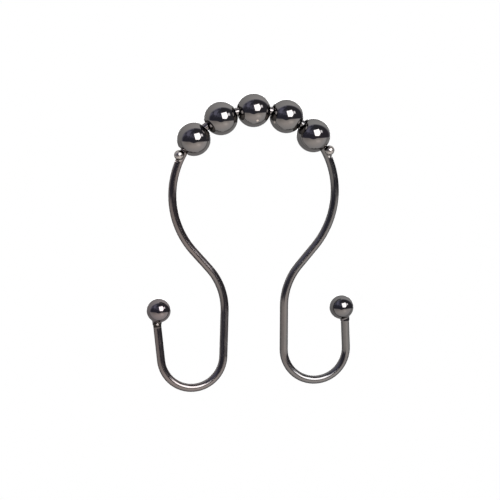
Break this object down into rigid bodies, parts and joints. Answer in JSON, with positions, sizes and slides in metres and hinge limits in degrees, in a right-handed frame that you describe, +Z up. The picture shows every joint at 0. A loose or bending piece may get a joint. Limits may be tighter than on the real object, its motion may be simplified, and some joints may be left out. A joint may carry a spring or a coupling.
{
  "type": "shower curtain hook",
  "caption": "Double shower curtain hook: a bent wire ring that rides a rod on rolling balls, with an open curved hook on each side that ends in a ball tip.",
  "frame": {"origin": "centre of the crown's bend, inside the ring, where the rod passes", "axes": "+Z up as the hook hangs, +X towards the shorter hook, +Y along the rod and away from the punched stops"},
  "size_m": [0.0517, 0.0082, 0.0732],
  "materials": {
    "black_nickel_steel": "polished black nickel plate over steel"
  },
  "bodies": {
    "frame": {"hook_wire": "black_nickel_steel", "left_tip_ball": "black_nickel_steel", "right_tip_ball": "black_nickel_steel"},
    "roller_left_outer": {"roller_left_outer": "black_nickel_steel"},
    "roller_left_inner": {"roller_left_inner": "black_nickel_steel"},
    "roller_centre": {"roller_centre": "black_nickel_steel"},
    "roller_right_inner": {"roller_right_inner": "black_nickel_steel"},
    "roller_right_outer": {"roller_right_outer": "black_nickel_steel"}
  },
  "joints": [
    {"name": "roller_left_outer_spin", "type": "hinge", "parent": "frame", "child": "roller_left_outer", "pos_m": [-0.01493, 0, 0.01341], "axis": [0.6681, 0, 0.7441], "continuous": true},
    {"name": "roller_left_inner_spin", "type": "hinge", "parent": "frame", "child": "roller_left_inner", "pos_m": [-0.00818, 0, 0.01833], "axis": [0.9133, 0, 0.4074], "continuous": true},
    {"name": "roller_centre_spin", "type": "hinge", "parent": "frame", "child": "roller_centre", "pos_m": [0, 0, 0.02007], "axis": [1, 0, 0], "continuous": true},
    {"name": "roller_right_inner_spin", "type": "hinge", "parent": "frame", "child": "roller_right_inner", "pos_m": [0.00818, 0, 0.01833], "axis": [0.9133, 0, -0.4074], "continuous": true},
    {"name": "roller_right_outer_spin", "type": "hinge", "parent": "frame", "child": "roller_right_outer", "pos_m": [0.01493, 0, 0.01341], "axis": [0.6681, 0, -0.7441], "continuous": true}
  ]
}
